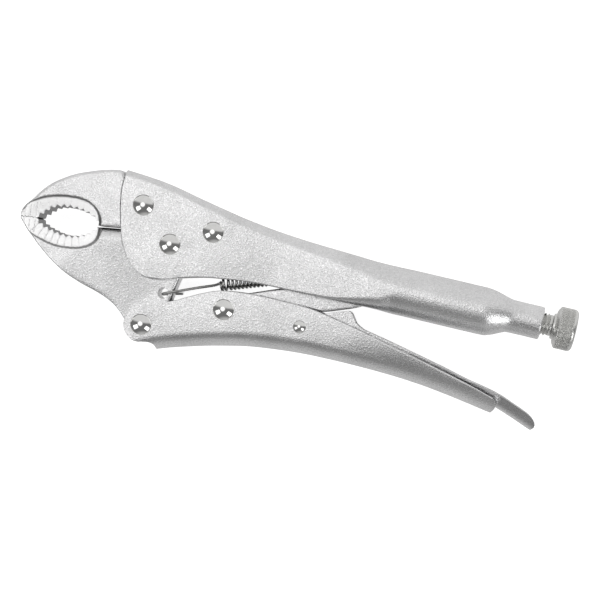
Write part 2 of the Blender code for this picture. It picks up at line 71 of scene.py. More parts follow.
def node_centre(name):
    """Middle of a CAD node's box."""
    low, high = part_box(name)
    return to_mm((low + high) / 2)


def node_reach(name):
    """Low and high corner of a CAD node's box."""
    low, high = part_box(name)
    return to_mm(low), to_mm(high)


HANDLE_PIVOT = to_mm(joints["handle_hinge"]["pos_m"]).xy
LINK_PIVOT = to_mm(joints["link_hinge"]["pos_m"]).xy
LEVER_PIVOT = to_mm(joints["lever_hinge"]["pos_m"]).xy
SPRING_ANCHOR = to_mm(joints["spring_swing"]["pos_m"]).xy
SCREW_Y = node_centre("screw_knob").y
KNOB_FRONT = node_reach("screw_knob")[0].x
KNOB_END = node_reach("screw_knob")[1].x
KNOB_RADIUS = node_reach("screw_knob")[1].z
SCREW_TIP = node_reach("adjusting_screw")[0].x
SCREW_RADIUS = node_reach("adjusting_screw")[1].z
FLANK = node_reach("fixed_jaw")[1].z
TUBE_RADIUS = node_reach("upper_handle")[1].z
NECK_END = node_reach("upper_handle")[1].x
LINK_BOSS = node_reach("toggle_link")[1].z

# sizes that no box of a CAD node gives
LEVER_HALF = 4.8
LINK_HALF = 3.3
LINK_END_X = 94.0
TANG = 4.9
WALL = 2.5
CHANNEL = FLANK - WALL - 0.3
OPEN = 20.0
SPRING_HOLE = Vector((1.5, -21.6))
SPRING_HOLE_RADIUS = 2.35
NECK_RADIUS = 7.2
NECK_ROUNDING = 0.7
SCREW_BORE = 5.4
PITCH = 1.5
WIRE = 0.58
COIL = 2.75
COIL_TURNS = 19
COIL_LENGTH = 33.0

# teeth and the marks ground across the bevels behind them
TOOTH_PITCH = 2.75
TOOTH_DEPTH = 1.2
NOSE_PITCH = 1.35
NOSE_DEPTH = 0.4
MARK_HALF = 0.16
MARK_RIM = 0.26

# vertex spacing on the forgings
FORGING_GRID = 1.4
BEVEL_GRID = 0.42


# ---- outlines ------------------------------------------------------------------------
def smooth(points, steps=8):
    """A soft curve through 2-D or 3-D points (Catmull-Rom), ends included."""
    pts = np.array([points[0]] + list(points) + [points[-1]], float)
    t = (np.arange(steps) / steps)[:, None]
    rows = []
    for i in range(1, len(pts) - 2):
        a, b, c, d = pts[i - 1:i + 3]
        rows.append(0.5 * (2 * b + (c - a) * t + (2 * a - 5 * b + 4 * c - d) * t ** 2
                           + (3 * b - a - 3 * c + d) * t ** 3))
    return np.vstack(rows + [pts[-1:]])


def arc(centre, radius, start, end, steps=16):
    """Points along a circular arc; angles in degrees."""
    a = np.radians(np.linspace(start, end, steps + 1))
    return np.column_stack((centre[0] + radius * np.cos(a), centre[1] + radius * np.sin(a)))


def left_of(direction):
    """A direction in the side view, turned a quarter to the left."""
    return np.array((-direction[1], direction[0]))


def normals(line):
    """Unit normals along a curve, on its left."""
    step = np.gradient(line, axis=0)
    normal = np.column_stack((-step[:, 1], step[:, 0]))
    return normal / np.linalg.norm(normal, axis=1)[:, None]


def resample(points, spacing):
    """Evenly spaced points along a curve."""
    points = np.asarray(points, float)
    lengths = np.r_[0, np.cumsum(np.linalg.norm(np.diff(points, axis=0), axis=1))]
    count = max(2, int(round(lengths[-1] / spacing)) + 1)
    wanted = np.linspace(0, lengths[-1], count)
    return np.column_stack([np.interp(wanted, lengths, points[:, k]) for k in (0, 1)])


def toothed(points, pitch, depth):
    """V-teeth along a curve: their outline, and each gullet's floor and outward direction."""
    curve = resample(smooth(points, 12), 0.2)
    lengths = np.r_[0, np.cumsum(np.linalg.norm(np.diff(curve, axis=0), axis=1))]
    count = max(1, int(round(lengths[-1] / pitch)))
    at = np.linspace(0, lengths[-1], 2 * count + 1)
    spots = np.column_stack([np.interp(at, lengths, curve[:, k]) for k in (0, 1)])
    normal = normals(spots)
    spots[1::2] += normal[1::2] * depth
    return spots, spots[1::2], normal[1::2] * math.copysign(1.0, depth)


def ease(table, x):
    """Row of values at x; monotone cubic between the rows of a table sorted by x."""
    table = np.array(table, float)
    xs, ys = table[:, 0], table[:, 1:]
    slopes = np.diff(ys, axis=0) / np.diff(xs)[:, None]
    before, after = slopes[:-1], slopes[1:]
    product = before * after
    middle = np.where(product > 0, 2 * product / np.where(before + after == 0, 1, before + after), 0)
    tangents = np.vstack((slopes[:1], middle, slopes[-1:]))
    x = min(max(x, xs[0]), xs[-1])
    i = min(int(np.searchsorted(xs, x, side="right")) - 1, len(xs) - 2)
    width = xs[i + 1] - xs[i]
    t = (x - xs[i]) / width
    return ((2 * t ** 3 - 3 * t ** 2 + 1) * ys[i] + (t ** 3 - 2 * t ** 2 + t) * width * tangents[i]
            + (3 * t ** 2 - 2 * t ** 3) * ys[i + 1] + (t ** 3 - t ** 2) * width * tangents[i + 1])


def distance_to(points, line):
    """Distance of each point to a polyline."""
    points, line = np.asarray(points, float), np.asarray(line, float)
    best = np.full(len(points), 1e9)
    for a, b in zip(line, line[1:]):
        ab = b - a
        t = np.clip(((points - a) @ ab) / max(ab @ ab, 1e-12), 0, 1)
        best = np.minimum(best, np.linalg.norm(points - (a + t[:, None] * ab), axis=1))
    return best


def inside(points, outline):
    """Whether each point is inside a closed outline."""
    points, outline = np.asarray(points, float), np.asarray(outline, float)
    result = np.zeros(len(points), bool)
    for a, b in zip(outline, np.roll(outline, -1, axis=0)):
        crosses = (a[1] > points[:, 1]) != (b[1] > points[:, 1])
        rise = b[1] - a[1] if b[1] != a[1] else 1e-12
        at = a[0] + (points[:, 1] - a[1]) * (b[0] - a[0]) / rise
        result ^= crosses & (points[:, 0] < at)
    return result


def step_up(value, low, high):
    """Smooth 0 to 1 between two values."""
    t = np.clip((value - low) / (high - low), 0, 1)
    return t * t * (3 - 2 * t)


# ---- meshes ----------------------------------------------------------------------------
def solid(name, verts, faces):
    """An object from millimetres, with its faces turned outwards."""
    mesh = bpy.data.meshes.new(name)
    mesh.from_pydata((np.asarray(verts, float) * MM + np.array(PIVOT)).tolist(), [], faces)
    mesh.validate()
    bm = bmesh.new()
    bm.from_mesh(mesh)
    bmesh.ops.recalc_face_normals(bm, faces=bm.faces)
    bm.to_mesh(mesh)
    bm.free()
    obj = bpy.data.objects.new(name, mesh)
    bpy.context.scene.collection.objects.link(obj)
    return obj


def soften(mesh, sharp):
    """Smooth shading, with edges over the sharp angle kept crisp."""
    mesh.shade_smooth()
    mesh.set_sharp_from_angle(angle=math.radians(sharp))


def place(name, verts, faces, body, node, sharp=35):
    """Makes a smooth-shaded piece and stands it in for its CAD node."""
    obj = solid(name, verts, faces)
    soften(obj.data, sharp)
    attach(obj, body)
    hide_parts(node)
    return obj


def band_faces(rows, count):
    """Quads between closed rows of count vertices each."""
    faces = []
    for r in range(rows - 1):
        for i in range(count):
            j = (i + 1) % count
            faces.append((r * count + i, r * count + j, (r + 1) * count + j, (r + 1) * count + i))
    return faces


def capped_faces(rows, count):
    """The same with both ends closed."""
    return band_faces(rows, count) + [tuple(range(count))[::-1],
                                      tuple(range((rows - 1) * count, rows * count))]


def loft(sections):
    """Verts and faces of closed loops joined into one capped solid."""
    sections = np.asarray(sections, float)
    return sections.reshape(-1, 3), capped_faces(*sections.shape[:2])


def trim(obj, outline, half=20.0):
    """Keeps only what is inside a side-view outline, with an exact Boolean."""
    count = len(outline)
    low = [(x, y, -half) for x, y in outline]
    high = [(x, y, half) for x, y in outline]
    faces = [(i, (i + 1) % count, (i + 1) % count + count, i + count) for i in range(count)]
    faces += [tuple(range(count))[::-1], tuple(range(count, 2 * count))]
    tool = solid("trimmer", low + high, faces)
    modifier = obj.modifiers.new("trim", 'BOOLEAN')
    modifier.operation = 'INTERSECT'
    modifier.solver = 'EXACT'
    modifier.object = tool
    bpy.context.view_layer.update()
    depsgraph = bpy.context.evaluated_depsgraph_get()
    result = bpy.data.meshes.new_from_object(obj.evaluated_get(depsgraph))
    obj.modifiers.clear()
    obj.data = result
    bpy.data.objects.remove(tool)
    soften(result, 32)


def staggered(low, high, pitch):
    """A grid of points whose every other row is shifted by half a step."""
    xs, ys = np.arange(low[0], high[0], pitch), np.arange(low[1], high[1], pitch)
    return np.array([(x + (k % 2) * pitch / 2, y) for k, y in enumerate(ys) for x in xs])


def edge_rings(stretches, radius, outline):
    """Rings of points along rounded edges, each with the clearance it needs."""
    for stretch in stretches:
        line = resample(stretch, 0.7)
        normal = normals(line)
        for share in (0.1, 0.3, 0.6, 1.0):
            for sign in (1, -1):
                ring = line + normal * sign * share * radius
                yield ring[inside(ring, outline)], share * radius * 0.8


def plate(outline, height, rounded=(), radius=0.8, extra=(), spacing=1.2, fine=(), holes=()):
    """A forging seen from the side: symmetric about z = 0, its half thickness a function.

    rounded lists the stretches of the outline whose edges are rounded to the
    radius; extra lists points to keep as vertices; fine is (test, spacing)
    pairs for denser areas.
    """
    outline = np.asarray(outline, float)
    loops = [outline] + [np.asarray(hole, float) for hole in holes]
    low, high = outline.min(0), outline.max(0)

    def keep(points, clearance):
        points = points[inside(points, outline)]
        for hole in loops[1:]:
            points = points[~inside(points, hole)]
        for loop in loops:
            points = points[distance_to(points, np.vstack((loop, loop[:1]))) > clearance]
        return points

    grid = staggered(low, high, spacing)
    for test, _ in fine:
        grid = grid[~test(grid)]
    grids = [keep(grid, spacing * 0.45)]
    for test, pitch in fine:
        grid = staggered(low, high, pitch)
        grids.append(keep(grid[test(grid)], pitch * 0.45))
    grids += [keep(ring, clearance) for ring, clearance in edge_rings(rounded, radius, outline)]
    if len(extra):
        grids.append(keep(np.asarray(extra, float), 0.02))
    edges = []
    start = 0
    for loop in loops:
        count = len(loop)
        edges += [(start + i, start + (i + 1) % count) for i in range(count)]
        start += count
    points = [Vector(p) for p in np.vstack(loops + grids)]
    result = geometry.delaunay_2d_cdt(points, edges, [], 0, 1e-5)
    co = np.array([tuple(v) for v in result[0]])
    tris = result[2]
    centres = np.array([co[list(t)].mean(0) for t in tris])
    good = inside(centres, outline)
    for hole in loops[1:]:
        good &= ~inside(centres, hole)
    tris = [t for t, ok in zip(tris, good) if ok]
    half = height(co)
    if len(rounded):
        near = np.min([distance_to(co, stretch) for stretch in rounded], axis=0)
        short = np.clip(radius - near, 0, radius)
        half = half - (radius - np.sqrt(radius ** 2 - short ** 2))
    used = sorted({i for t in tris for i in t})
    index = {v: k for k, v in enumerate(used)}
    n = len(used)
    top = np.column_stack((co[used], half[used]))
    bottom = np.column_stack((co[used], -half[used]))
    faces = [tuple(index[i] for i in t) for t in tris]
    sides = [side for t in faces for side in zip(t, t[1:] + t[:1])]
    shared = set(sides)
    walls = [(a, a + n, b + n, b) for a, b in sides if (b, a) not in shared]
    bottoms = [tuple(i + n for i in reversed(t)) for t in faces]
    return np.vstack((top, bottom)), faces + bottoms + walls


# ---- pressed handles ----------------------------------------------------------------------
def sheet_section(web, rim, half, lean, web_radius, rim_radius, slot, wall, corner=12):
    """Closed (y, z) loop of a bent sheet: a channel, or a tube with a seam.

    half is the half width at the rim; the walls close in towards the web by
    lean degrees, then turn into the web along an arc.
    """
    side = 1.0 if web > rim else -1.0
    web, rim = web * side, rim * side
    tilt = math.radians(lean)
    low_turn = [math.radians(90) * k / corner for k in range(corner + 1)]
    high_turn = [tilt + (math.radians(90) - tilt) * k / corner for k in range(corner + 1)]

    def path(top, bottom, width, top_r, bottom_r, opening):
        start = bottom + bottom_r
        middle = top - top_r
        flat = width - (middle + top_r * math.sin(tilt) - start) * math.tan(tilt) - top_r * math.cos(tilt)
        points = [(bottom, -opening)]
        points += [(start - bottom_r * math.cos(a), -width + bottom_r - bottom_r * math.sin(a))
                   for a in low_turn]
        points += [(middle + top_r * math.sin(a), -flat - top_r * math.cos(a)) for a in high_turn]
        return points + [(y, -z) for y, z in reversed(points)]

    inner_r = max(rim_radius - wall, 0.15)
    lift = max(wall * step_up(5.0 - slot, 0.0, 3.0), 0.3)
    inner_half = half - wall / math.cos(tilt) - lift * math.tan(tilt)
    slot = min(slot, inner_half - inner_r - 0.02)
    outer = path(web, rim, half, web_radius, rim_radius, min(slot + 0.25, half - rim_radius - 0.02))
    inner = path(web - wall, rim + lift, inner_half, max(web_radius - wall, 0.5), inner_r, slot)
    return [(y * side, z) for y, z in outer + inner[::-1]]


UPPER_RIM = [(-26.0, -18.0), (0.0, -15.9), (7.3, -13.5), (16.9, -11.0), (24.7, -9.8), (33.7, -8.6),
             (45.0, -7.9), (61.2, -7.6), (73.6, -7.4), (80.9, -7.25), (90.0, -7.15), (96.0, -7.2),
             (101.0, -7.5), (108.0, -7.5), (139.9, -7.5), (144.0, -6.9), (147.2, -5.6), (149.8, -4.35),
             (152.6, -3.75), (NECK_END, -3.75)]

# x, top of the web, half width, lean, web corner, rim corner, half slot, wall
UPPER_STATIONS = (
    (-30.0, 28.0, FLANK, 0.0, 3.2, 0.5, CHANNEL, WALL),
    (-10.8, 26.4, FLANK, 0.0, 3.3, 0.5, CHANNEL, WALL),
    (7.6, 22.8, FLANK, 0.0, 3.6, 0.5, CHANNEL, WALL),
    (17.0, 20.9, FLANK, 0.0, 3.9, 0.5, CHANNEL, WALL),
    (29.0, 18.65, 7.45, 0.0, 4.3, 0.5, CHANNEL, WALL - 0.2),
    (47.0, 16.2, 6.95, 0.0, 5.1, 0.6, CHANNEL, WALL - 0.6),
    (61.2, 15.0, 8.1, 0.0, 5.8, 0.8, 5.2, WALL),
    (72.0, 14.4, 8.65, 0.0, 6.6, 1.2, 5.6, WALL),
    (80.9, 13.9, 9.3, 0.0, 7.6, 2.6, 5.8, WALL),
    (86.0, 13.6, 9.65, 0.0, 8.3, 4.0, 5.5, WALL),
    (90.0, 13.4, 9.95, 0.0, 9.0, 5.0, 4.85, WALL),
    (96.0, 13.25, 10.2, 0.0, 9.8, 6.5, 3.6, WALL),
    (101.0, 13.3, 10.4, 0.0, 10.2, 9.7, 0.6, WALL),
    (108.0, 13.4, TUBE_RADIUS, 0.0, 10.4, 10.05, 0.3, WALL),
    (139.9, 13.35, TUBE_RADIUS, 0.0, 10.35, 10.05, 0.3, WALL),
    (144.0, 12.75, 9.85, 0.0, 9.6, 9.5, 0.3, WALL),
    (147.2, 11.9, 8.8, 0.0, 8.6, 8.45, 0.3, 2.4),
    (149.8, 11.15, 7.85, 0.0, 7.7, 7.5, 0.3, 2.2),
    (152.6, 10.7, NECK_RADIUS, 0.0, 7.15, 6.85, 0.3, NECK_RADIUS - SCREW_BORE),
    (NECK_END, 10.65, NECK_RADIUS, 0.0, 7.15, 6.85, 0.3, NECK_RADIUS - SCREW_BORE),
)

LOWER_RIM = [(-16.0, -20.0), (-4.0, -24.0), (6.3, -23.9), (12.0, -21.1), (18.5, -17.8), (25.0, -15.1),
             (31.4, -13.8), (41.0, -13.0), (52.0, -12.8), (62.0, -13.0), (68.1, -13.4), (75.0, -14.5),
             (89.6, -17.4), (104.0, -20.7), (118.1, -23.8), (139.7, -29.0), (151.0, -32.2), (156.0, -34.0)]

# x, bottom of the web, half width, lean, web corner, rim corner, half slot, wall
LOWER_STATIONS = (
    (-16.0, -56.0, FLANK, 0.0, 6.8, 0.5, OPEN, WALL),
    (3.9, -46.5, FLANK, 0.0, 7.0, 0.5, OPEN, WALL),
    (18.7, -41.8, FLANK, 0.0, 7.1, 0.5, OPEN, WALL),
    (29.7, -38.9, FLANK, 0.0, 7.2, 0.5, OPEN, WALL),
    (46.4, -35.5, FLANK, 0.0, 7.2, 0.5, OPEN, WALL),
    (66.0, -33.6, FLANK, 0.0, 7.2, 0.5, OPEN, WALL),
    (72.0, -33.35, 7.85, 2.0, 7.2, 0.5, OPEN, WALL),
    (84.0, -33.2, 8.8, 7.0, 7.5, 0.5, OPEN, WALL),
    (96.0, -33.35, 9.6, 13.0, 7.8, 0.5, OPEN, WALL),
    (108.0, -33.8, 10.05, 19.0, 8.2, 0.5, OPEN, WALL),
    (120.0, -34.7, 10.1, 23.0, 8.7, 0.5, OPEN, WALL),
    (132.0, -36.2, 10.0, 25.0, 9.1, 0.5, OPEN, WALL),
    (144.0, -38.1, 9.7, 28.0, 9.3, 0.45, OPEN, 2.4),
    (150.0, -39.1, 9.4, 29.0, 9.35, 0.4, OPEN, 2.35),
    (156.0, -40.0, 9.1, 30.0, 9.3, 0.3, OPEN, 2.3),
)


def sheet_loft(table, rim, xs):
    """Cross-sections of a pressed sheet at each x."""
    rim_curve = smooth(rim, 8)
    sections = []
    for x in xs:
        web, *shape = ease(table, x)
        edge = float(np.interp(x, rim_curve[:, 0], rim_curve[:, 1]))
        sections.append([(x, y, z) for y, z in sheet_section(web, edge, *shape)])
    return sections


# front edge of the upper handle's cheeks, over both jaws
CHEEK_FRONT = smooth([(-26.2, 26.6), (-26.1, 25.0), (-26.4, 19.5), (-25.3, 12.0), (-23.6, 4.8),
                      (-20.8, -3.7), (-15.4, -12.0), (-9.0, -15.9), (-2.6, -16.2), (7.3, -13.5),
                      (14.0, -11.7)], 10)


def make_upper_handle():
    xs = np.r_[np.arange(-30.0, 150.0, 1.5), np.arange(150.0, NECK_END - 0.8, 1.0)]
    sections = sheet_loft(UPPER_STATIONS, UPPER_RIM, xs)
    web, half, lean, web_r, rim_r, slot, wall = ease(UPPER_STATIONS, NECK_END)
    edge = UPPER_RIM[-1][1]
    for angle in range(0, 91, 18):
        inset = NECK_ROUNDING * (1 - math.cos(math.radians(angle)))
        x = NECK_END - NECK_ROUNDING + NECK_ROUNDING * math.sin(math.radians(angle))
        section = sheet_section(web - inset, edge + inset, half - inset, lean, web_r - inset, rim_r - inset,
                                slot, wall - inset)
        sections.append([(x, y, z) for y, z in section])
    verts, faces = loft(sections)
    handle = place("upper_handle_sheet", verts, faces, "frame", "upper_handle")
    trim(handle, np.vstack(([(-26.15, 40.0)], CHEEK_FRONT, [(20.0, -13.0), (100.0, -20.0), (190.0, -20.0),
                                                     (190.0, 40.0)])))
    return handle


def make_lower_handle():
    xs = np.r_[np.arange(-16.0, 154.0, 1.5), [156.0]]
    verts, faces = loft(sheet_loft(LOWER_STATIONS, LOWER_RIM, xs))
    handle = place("lower_handle_sheet", verts, faces, "hand_lever", "lower_handle")
    ear = arc(HANDLE_PIVOT, 7.9, 262, 118, 24)
    rim = smooth([(-2.3, -27.9), (2.0, -25.95), (6.3, -24.1), (10.0, -22.0)], 6)
    end = smooth([(151.2, -31.9), (153.2, -33.4), (154.1, -35.2), (154.0, -37.2), (152.9, -39.2)], 8)
    notch = smooth([(4.4, -50.0), (3.9, -46.8), (2.9, -44.9), (0.6, -44.15), (-2.4, -44.55),
                    (-4.0, -44.95)], 6)
    trim(handle, np.vstack((ear, rim, [(14.0, -16.0), (60.0, -8.0), (148.0, -26.0)], end,
                            [(152.0, -60.0), (4.6, -60.0)], notch)))
    return handle


# ---- jaws ------------------------------------------------------------------------------------
OVAL = [(-67.6, 0.4), (-66.0, 3.4), (-64.0, 5.3), (-60.4, 7.6), (-57.0, 9.1), (-53.9, 10.0),
        (-50.6, 10.7), (-47.6, 11.0), (-44.3, 11.2), (-41.2, 10.9), (-38.6, 10.2), (-36.2, 8.9),
        (-34.0, 6.9), (-32.5, 4.4), (-31.7, 1.6), (-31.2, -1.4), (-31.4, -4.6), (-32.7, -7.2),
        (-35.0, -9.3), (-37.4, -10.5), (-40.1, -11.4), (-43.0, -12.0), (-45.7, -12.3), (-49.2, -12.4),
        (-52.8, -12.1), (-57.8, -10.9), (-61.6, -9.6), (-65.0, -7.4)]
OVAL_LINE = smooth(OVAL, 8)
OVAL_AREA = np.vstack((OVAL_LINE, [(-80.0, -3.0)]))


def hollow_width(along):
    """Width of the hollow that frames the ground bevels, along the jaws."""
    return np.interp(along, [-66, -56, -40, -33, -31], [0.5, 0.9, 1.1, 1.8, 2.0])


def bevel_height(points, flank):
    """Half thickness inside the ground bevels: a hollow wall, then a nearly flat floor."""
    within = inside(points, OVAL_AREA)
    depth = distance_to(points, OVAL_LINE)
    along = points[:, 0]
    wall_depth = np.interp(along, [-66, -56, -40, -31], [0.4, 0.75, 1.0, 1.5])
    hollow = np.clip(depth / hollow_width(along), 0, 1)
    fall = wall_depth * (1 - (1 - hollow) ** 1.25)
    return np.where(within, flank - fall - 0.3 * step_up(depth, 0.5, 7.0), flank)


def gullet_grooves(gullets, directions, length):
    """Lines of points across the bevels behind each gullet."""
    lines = []
    for spot, direction, reach in zip(gullets, directions, length):
        if reach <= 0.6:
            continue
        at = np.linspace(0.15, reach, max(3, int(reach / 0.5)))
        for side in (-MARK_RIM, -MARK_HALF, 0.0, MARK_HALF, MARK_RIM):
            lines.append(spot + np.outer(at, direction) + left_of(direction) * side)
    return np.vstack(lines) if lines else np.zeros((0, 2))


def groove_depth(points, gullets, directions, length, depth):
    """Depth of the marks at each point."""
    marks = np.zeros(len(points))
    for spot, direction, reach, deep in zip(gullets, directions, length, depth):
        rel = points - spot
        u = rel @ direction
        v = np.abs(rel @ left_of(direction))
        fade = step_up(reach - u, 0, 1.0) * (u > -0.05)
        marks = np.maximum(marks, deep * np.clip(1 - v / MARK_HALF, 0, 1) * fade)
    return marks


def near_bevels(points):
    """Where the jaws need the finer grid."""
    return (points[:, 0] < -29.5) & (np.abs(points[:, 1] + 0.5) < 13.2)


def reach_across(gullets, directions, share):
    """How far each mark runs: a share of the way from the gullet to the bevel's outer edge."""
    result = []
    for spot, direction in zip(gullets, directions):
        rel = OVAL_LINE - spot
        u = rel @ direction
        v = np.abs(rel @ left_of(direction))
        hits = u[(u > 0) & (v < 0.5)]
        result.append((hits.min() if len(hits) else 0.0) * share)
    return np.array(result)


def bevel_marks(gullets, outwards, share, fade, nose):
    """Marks across the bevels: one behind each gullet, then those at the nose."""
    spots, way, nose_length, nose_depth = nose
    length = np.r_[reach_across(gullets, outwards, share), nose_length]
    depth = np.r_[np.interp(gullets[:, 0], *fade), nose_depth]
    return np.vstack((gullets, spots)), np.vstack((outwards, [way] * len(spots))), length, depth


def parting(shift):
    """The fine zigzag along which the two tips mesh."""
    return toothed([(-61.0, -2.0), (-68.2, -2.9)], NOSE_PITCH, -NOSE_DEPTH)[0] + (0.0, shift)


def paint_bevels_and_shade(jaw):
    """White ground bevels; painted shade as a dark material in the hollow round them, on the tooth walls
    and in the lip slot.
    """
    centres = np.array([tuple(to_mm(jaw.matrix_world @ face.center)) for face in jaw.data.polygons])
    flat = np.array([abs(face.normal.z) for face in jaw.data.polygons]) > 0.5
    spots = centres[:, :2]
    in_oval = inside(spots, OVAL_AREA)
    painted_shade_hollow = distance_to(spots, OVAL_LINE) < hollow_width(spots[:, 0]) * 0.85
    teeth = ~in_oval & ~flat & (np.abs(spots[:, 0] + 50.0) < 18.7) & (np.abs(spots[:, 1]) < 6.5)
    slot = (spots[:, 0] > -31.8) & (spots[:, 0] < -23.0) & (np.abs(spots[:, 1] - 0.9) < 1.3) & ~flat
    # painted shade: the hollow round the bevels, the tooth walls and the lip slot take the dark material
    dark = (in_oval & flat & painted_shade_hollow) | (in_oval & ~flat) | teeth | slot
    for face, is_painted_shade, is_white in zip(jaw.data.polygons, dark, in_oval & flat & ~painted_shade_hollow):
        face.material_index = 2 if is_painted_shade else 1 if is_white else 0


def make_fixed_jaw():
    back = smooth([(-68.5, -0.9), (-68.2, 0.7), (-67.2, 2.6), (-64.6, 5.9), (-61.6, 10.3), (-57.9, 14.4),
                   (-52.8, 18.2), (-47.7, 21.1), (-42.3, 23.3), (-36.8, 25.2), (-32.5, 26.3),
                   (-29.3, 26.84), (-27.3, 26.4), (-26.4, 24.8)], 8)
    tang = np.array([(-26.3, 24.0), (-12.0, 22.9), (2.0, 20.2), (18.0, 17.1), (24.5, 15.4), (25.5, 5.5),
                     (20.0, 3.2)])
    round_pivot = arc((0, 0), 9.6, 25, 152, 20)
    lip = np.array([(-23.3, 2.25), (-31.7, 0.95)])
    teeth, gullets, outwards = toothed([(-33.2, 0.75), (-36.6, 3.9), (-42.3, 5.5), (-48.2, 5.6),
                                        (-53.2, 4.5), (-55.8, 2.7), (-60.2, -1.6)],
                                       TOOTH_PITCH, -TOOTH_DEPTH)
    nose = parting(0.0)
    outline = np.vstack((back, tang, round_pivot, lip, teeth, nose))
    seat = CHEEK_FRONT[CHEEK_FRONT[:, 1] > -1.0] - (0.14, 0.0)
    marks = bevel_marks(gullets, outwards, 0.8, ([-58, -50, -44], [0.12, 0.07, 0.03]),
                        ([(-66.4, -1.9), (-63.9, -1.6), (-61.4, -1.2)], (-0.10, 0.995),
                         [3.2, 5.6, 6.6], [0.07, 0.08, 0.1]))

    def height(points):
        half = bevel_height(points, FLANK) - groove_depth(points, *marks)
        seat_x = np.interp(points[:, 1], seat[::-1, 1], seat[::-1, 0])
        under = step_up(points[:, 0] - seat_x, -0.04, 0.08)
        half = half * (1 - under) + TANG * under
        lip_gap = distance_to(points, lip)
        return half - 0.3 * (1 - step_up(lip_gap, 0, 0.5)) * (points[:, 0] < -22.5)

    mark_rows = gullet_grooves(*marks[:3])
    seat_rows = [resample(seat, 0.8) + (dx, 0) for dx in (-0.06, 0.1)]
    verts, faces = plate(outline, height, [back[4:]], 1.5, np.vstack([mark_rows] + seat_rows),
                         FORGING_GRID, [(near_bevels, BEVEL_GRID)])
    return place("fixed_jaw_forging", verts, faces, "frame", "fixed_jaw", 30)


def make_lower_jaw():
    belly = smooth([(-68.0, -3.6), (-67.3, -4.6), (-66.1, -5.9), (-64.2, -7.8), (-61.6, -10.0),
                    (-57.2, -13.8), (-50.0, -19.0), (-43.2, -22.8), (-35.5, -25.7), (-28.0, -27.8),
                    (-22.2, -29.9), (-17.5, -32.6), (-13.6, -36.2)], 8)
    foot = arc(HANDLE_PIVOT, 7.2, 185, 345, 20)
    rear = smooth([(4.2, -30.0), (5.3, -24.4), (6.3, -18.0), (7.4, -12.5)], 4)
    crown = arc((0, 0), 8.4, -15, 158, 20)
    lip = np.array([(-23.4, 1.0), (-31.4, -0.25)])
    tongue = lip + (0.0, 0.75)
    teeth, gullets, outwards = toothed([(-33.7, -0.1), (-35.4, -1.5), (-38.8, -4.3), (-43.7, -6.1),
                                        (-49.0, -6.2), (-54.0, -5.2), (-57.2, -4.2), (-60.0, -2.5)],
                                       TOOTH_PITCH, TOOTH_DEPTH)
    nose = parting(-0.22)
    outline = np.vstack((belly, foot, rear, crown, tongue, teeth, nose))
    step = CHEEK_FRONT[CHEEK_FRONT[:, 1] < 8.0] - (0.12, 0.10)
    tang_area = np.vstack((step, [(60.0, -13.0), (60.0, 8.0)]))
    marks = bevel_marks(gullets, outwards, 0.93, ([-58, -50, -44, -38], [0.16, 0.16, 0.1, 0.03]),
                        ([(-66.3, -3.6), (-63.8, -3.3), (-61.3, -2.9)], (0.10, -0.995),
                         [2.6, 4.4, 6.0], [0.08, 0.14, 0.15]))
    ramp_start, ramp_way, ramp_length = (-37.8, -8.4), np.array((0.8, -0.6)), 36.0

    def height(points):
        half = bevel_height(points, FLANK) - groove_depth(points, *marks)
        down = np.clip((points - ramp_start) @ ramp_way / ramp_length, 0, 1)
        half = np.minimum(half, FLANK - (FLANK - TANG) * down)
        off = distance_to(points, step)
        on_head = ~inside(points, tang_area)
        half = TANG + (half - TANG) * np.where(on_head, step_up(off, 0.0, 0.1), 0.0)
        shoulder = np.clip(1 - distance_to(points, lip) / 5.0, 0, 1)
        shoulder = shoulder * step_up(points[:, 0], -31.9, -31.0)
        half = half - 1.9 * shoulder ** 2 * (half > TANG + 0.5)
        above = points[:, 1] - np.interp(points[:, 0], lip[::-1, 0], lip[::-1, 1])
        in_slot = (points[:, 0] < -23.0) & (points[:, 0] > -31.6) & (above > 0) & (above < 1.2)
        return np.where(in_slot, half - 5.0 * np.clip(above / 0.6, 0, 1), half)

    mark_rows = gullet_grooves(*marks[:3])
    step_rows = [resample(step, 0.8) + shift for shift in ((-0.09, -0.06), (0.0, 0.0))]
    lip_rows = [resample(lip, 0.7) + (0, -dy)
                for dy in (-0.45, -0.2, 0.0, 0.3, 0.8, 1.4, 2.1, 2.9, 3.8, 4.8)]
    hole = arc(SPRING_HOLE, SPRING_HOLE_RADIUS, 0, 360, 40)[:-1]
    hole_rows = [arc(SPRING_HOLE, SPRING_HOLE_RADIUS + d, 0, 360, 40)[:-1] for d in (0.12, 0.3)]
    verts, faces = plate(outline, height, [belly[6:], rear], 1.2,
                         np.vstack([mark_rows] + step_rows + lip_rows + hole_rows),
                         FORGING_GRID, [(near_bevels, BEVEL_GRID)], [hole])
    return place("lower_jaw_forging", verts, faces, "moving_jaw", "lower_jaw", 30)


# ---- link, lever, rivets ------------------------------------------------------------------------
def make_toggle_link():
    end = Vector((LINK_END_X, SCREW_Y))
    span = end - LINK_PIVOT
    along = np.array(span.normalized())
    length = span.length
    edge = smooth([(6.0, -5.0), (20.0, -5.0), (34.0, -5.0), (42.0, -7.4), (50.0, -7.9), (60.0, -7.7),
                   (66.0, -4.8)], 6)
    tail = arc((length, 0), 4.6, -75, 90, 14)
    top = np.array([(60.0, 5.4), (34.0, 5.5), (8.0, 5.6)])
    nose = arc((0, 0), 6.6, 65, 285, 20)
    local = np.vstack((edge, tail, top, nose))
    outline = np.array(LINK_PIVOT) + np.outer(local[:, 0], along) + np.outer(local[:, 1], left_of(along))

    def height(points):
        boss = distance_to(points, np.array([LINK_PIVOT, LINK_PIVOT]) + [[0, 0], [0.01, 0]])
        return np.where(boss < 6.0, LINK_BOSS, LINK_HALF)

    closed = np.vstack((outline, outline[:1]))
    verts, faces = plate(outline, height, [closed], 0.9, (), 1.5)
    return place("toggle_link_bar", verts, faces, "link", "toggle_link", 30)


